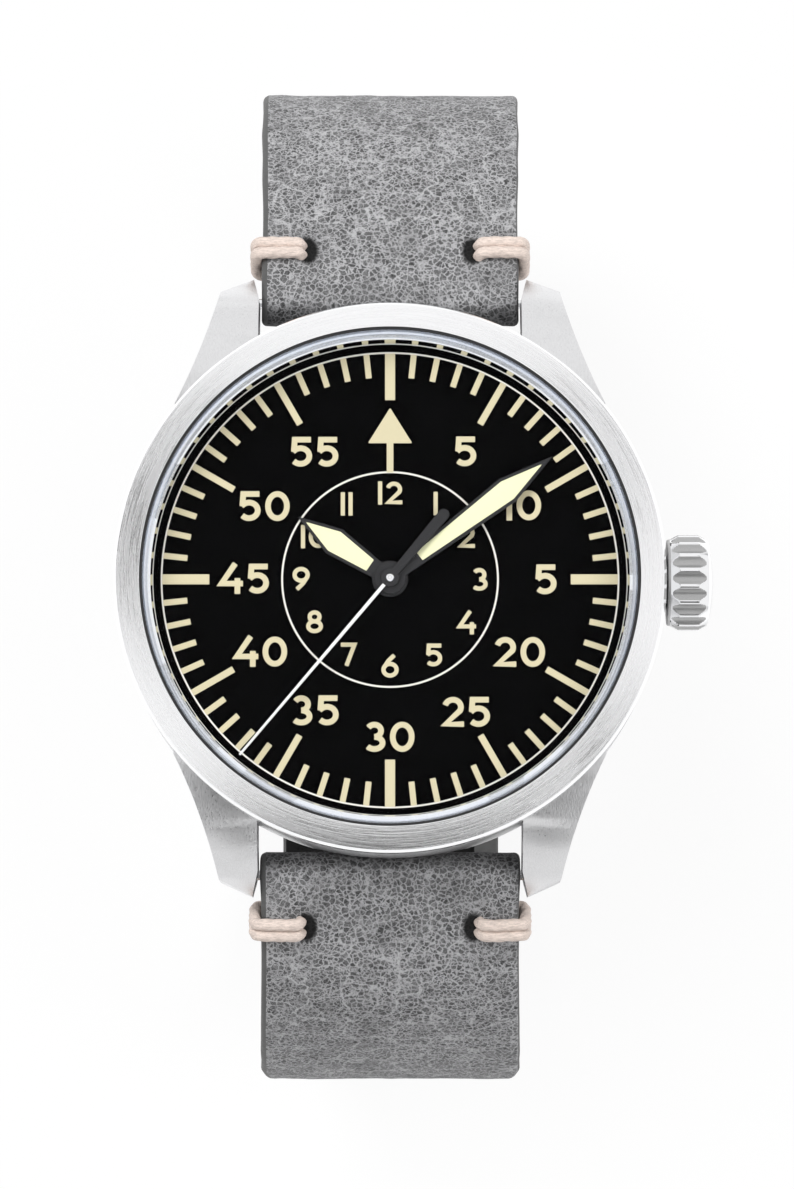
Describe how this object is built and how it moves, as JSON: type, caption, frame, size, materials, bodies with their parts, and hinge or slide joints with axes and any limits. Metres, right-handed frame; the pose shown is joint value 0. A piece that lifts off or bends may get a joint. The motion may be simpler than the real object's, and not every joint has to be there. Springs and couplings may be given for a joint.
{
  "type": "wristwatch",
  "caption": "Round steel pilot watch with black dial, lance hands, fluted crown and display back, on a buckled grey leather strap.",
  "frame": {"origin": "on the hand axis, on the plane where the closed buckle and keepers rest", "axes": "+Z out of the crystal along the hand axis, +Y to 12 o'clock, +X to the crown"},
  "size_m": [0.0457, 0.0794, 0.0582],
  "materials": {
    "case_steel": "brushed",
    "polished_steel": "polished",
    "movement_steel": "polished",
    "movement_nickel": "satin",
    "brass": "polished",
    "dial_black": "matte",
    "hand_grey": "satin",
    "lume": "matte",
    "sapphire": "polished",
    "ruby": "polished",
    "seal": "matte",
    "grey_leather": "grained",
    "lining_leather": "matte",
    "thread": "waxed"
  },
  "bodies": {
    "case": {"mid_case": "case_steel", "bezel": "case_steel", "crystal": "sapphire", "crystal_gasket": "seal", "mirror_ring": "polished_steel", "case_back_ring": "case_steel", "case_back_glass": "sapphire", "case_back_gasket": "seal", "dial": "dial_black", "movement_ring": "movement_nickel", "main_plate": "movement_nickel", "barrel_bridge": "movement_nickel", "train_bridge": "movement_nickel", "balance_cock": "movement_nickel", "jewels": "ruby", "bridge_screws": "movement_steel", "pallet_bridge": "movement_steel", "automatic_bridge": "movement_nickel", "hairspring": "movement_steel", "crown_tube": "polished_steel", "winding_pinion": "polished_steel", "spring_bar_12": "polished_steel", "spring_bar_6": "polished_steel", "strap_12_leather": "grey_leather", "strap_12_lining": "lining_leather", "strap_6_leather": "grey_leather", "strap_6_lining": "lining_leather", "stitches_12": "thread", "stitches_6": "thread", "buckle_frame": "case_steel", "buckle_bar": "case_steel", "fixed_keeper": "grey_leather"},
    "crown_turner": {"sliding_pinion": "polished_steel"},
    "crown_slider": {"crown": "case_steel", "crown_gasket": "seal", "winding_stem": "polished_steel"},
    "minute_group": {"minute_hand": "hand_grey", "minute_hand_lume": "lume", "cannon_pinion": "movement_steel"},
    "hour_group": {"hour_hand": "hand_grey", "hour_hand_lume": "lume", "hour_wheel": "brass"},
    "minute_wheel_body": {"minute_wheel": "brass"},
    "seconds_group": {"seconds_hand": "hand_grey", "seconds_wheel": "brass"},
    "third_wheel_body": {"third_wheel": "brass"},
    "centre_wheel_body": {"centre_wheel": "brass"},
    "barrel_body": {"barrel": "brass", "mainspring": "movement_steel"},
    "escape_wheel_body": {"escape_wheel": "movement_steel"},
    "fork_body": {"pallet_fork": "movement_steel"},
    "balance_body": {"balance_wheel": "brass"},
    "rotor_body": {"rotor": "movement_nickel"},
    "ratchet_wheel_body": {"ratchet_wheel": "movement_steel"},
    "crown_wheel_body": {"crown_wheel": "movement_steel"},
    "tongue_body": {"buckle_tongue": "case_steel"},
    "free_keeper_body": {"free_keeper": "grey_leather"}
  },
  "joints": [
    {"name": "crown_turn", "type": "hinge", "parent": "case", "child": "crown_turner", "pos_m": [0.00885, 0, 0.0523], "axis": [1, 0, 0], "continuous": true},
    {"name": "crown_pull", "type": "slide", "parent": "crown_turner", "child": "crown_slider", "axis": [1, 0, 0], "range_m": [0, 0.0012]},
    {"name": "minute_hand_turn", "type": "hinge", "parent": "case", "child": "minute_group", "pos_m": [0, 0, 0.052], "axis": [0, 0, -1], "continuous": true},
    {"name": "hour_hand_turn", "type": "hinge", "parent": "case", "child": "hour_group", "pos_m": [0, 0, 0.052], "axis": [0, 0, -1], "continuous": true},
    {"name": "minute_wheel_turn", "type": "hinge", "parent": "case", "child": "minute_wheel_body", "pos_m": [-0.00246, -0.00172, 0.052], "axis": [0, 0, -1], "continuous": true},
    {"name": "seconds_hand_turn", "type": "hinge", "parent": "case", "child": "seconds_group", "pos_m": [0, 0, 0.052], "axis": [0, 0, -1], "continuous": true},
    {"name": "third_wheel_turn", "type": "hinge", "parent": "case", "child": "third_wheel_body", "pos_m": [-0.0045, 0, 0.052], "axis": [0, 0, -1], "continuous": true},
    {"name": "centre_wheel_turn", "type": "hinge", "parent": "case", "child": "centre_wheel_body", "pos_m": [0, 0, 0.052], "axis": [0, 0, -1], "continuous": true},
    {"name": "barrel_turn", "type": "hinge", "parent": "case", "child": "barrel_body", "pos_m": [0.0036, 0.00429, 0.052], "axis": [0, 0, -1], "continuous": true},
    {"name": "escape_wheel_turn", "type": "hinge", "parent": "case", "child": "escape_wheel_body", "pos_m": [-0.00232, -0.00386, 0.052], "axis": [0, 0, -1], "continuous": true},
    {"name": "pallet_fork_swing", "type": "hinge", "parent": "case", "child": "fork_body", "pos_m": [-0.00153, -0.00604, 0.052], "axis": [0, 0, 1], "range_deg": [-5, 5]},
    {"name": "balance_swing", "type": "hinge", "parent": "case", "child": "balance_body", "pos_m": [-0.00072, -0.00827, 0.052], "axis": [0, 0, 1], "range_deg": [-270, 270], "deforming": ["hairspring"]},
    {"name": "rotor_turn", "type": "hinge", "parent": "case", "child": "rotor_body", "pos_m": [0, 0, 0.052], "axis": [0, 0, 1], "continuous": true},
    {"name": "ratchet_wheel_turn", "type": "hinge", "parent": "case", "child": "ratchet_wheel_body", "pos_m": [0.0036, 0.00429, 0.052], "axis": [0, 0, -1], "continuous": true},
    {"name": "crown_wheel_turn", "type": "hinge", "parent": "case", "child": "crown_wheel_body", "pos_m": [0.00666, 0.00153, 0.052], "axis": [0, 0, -1], "continuous": true},
    {"name": "tongue_swing", "type": "hinge", "parent": "case", "child": "tongue_body", "pos_m": [0, -0.002, 0.00525], "axis": [1, 0, 0], "range_deg": [0, 4]},
    {"name": "keeper_slide", "type": "slide", "parent": "case", "child": "free_keeper_body", "axis": [0, 1, 0], "range_m": [0, 0.003]}
  ],
  "couplings": [
    {"joint": "hour_hand_turn", "follows": "minute_hand_turn", "ratio": 0.083333},
    {"joint": "minute_wheel_turn", "follows": "minute_hand_turn", "ratio": -0.33333},
    {"joint": "third_wheel_turn", "follows": "seconds_hand_turn", "ratio": -0.13333},
    {"joint": "centre_wheel_turn", "follows": "seconds_hand_turn", "ratio": 0.016667},
    {"joint": "barrel_turn", "follows": "seconds_hand_turn", "ratio": -0.0018519},
    {"joint": "escape_wheel_turn", "follows": "seconds_hand_turn", "ratio": -10},
    {"joint": "ratchet_wheel_turn", "follows": "crown_wheel_turn", "ratio": -0.5}
  ]
}
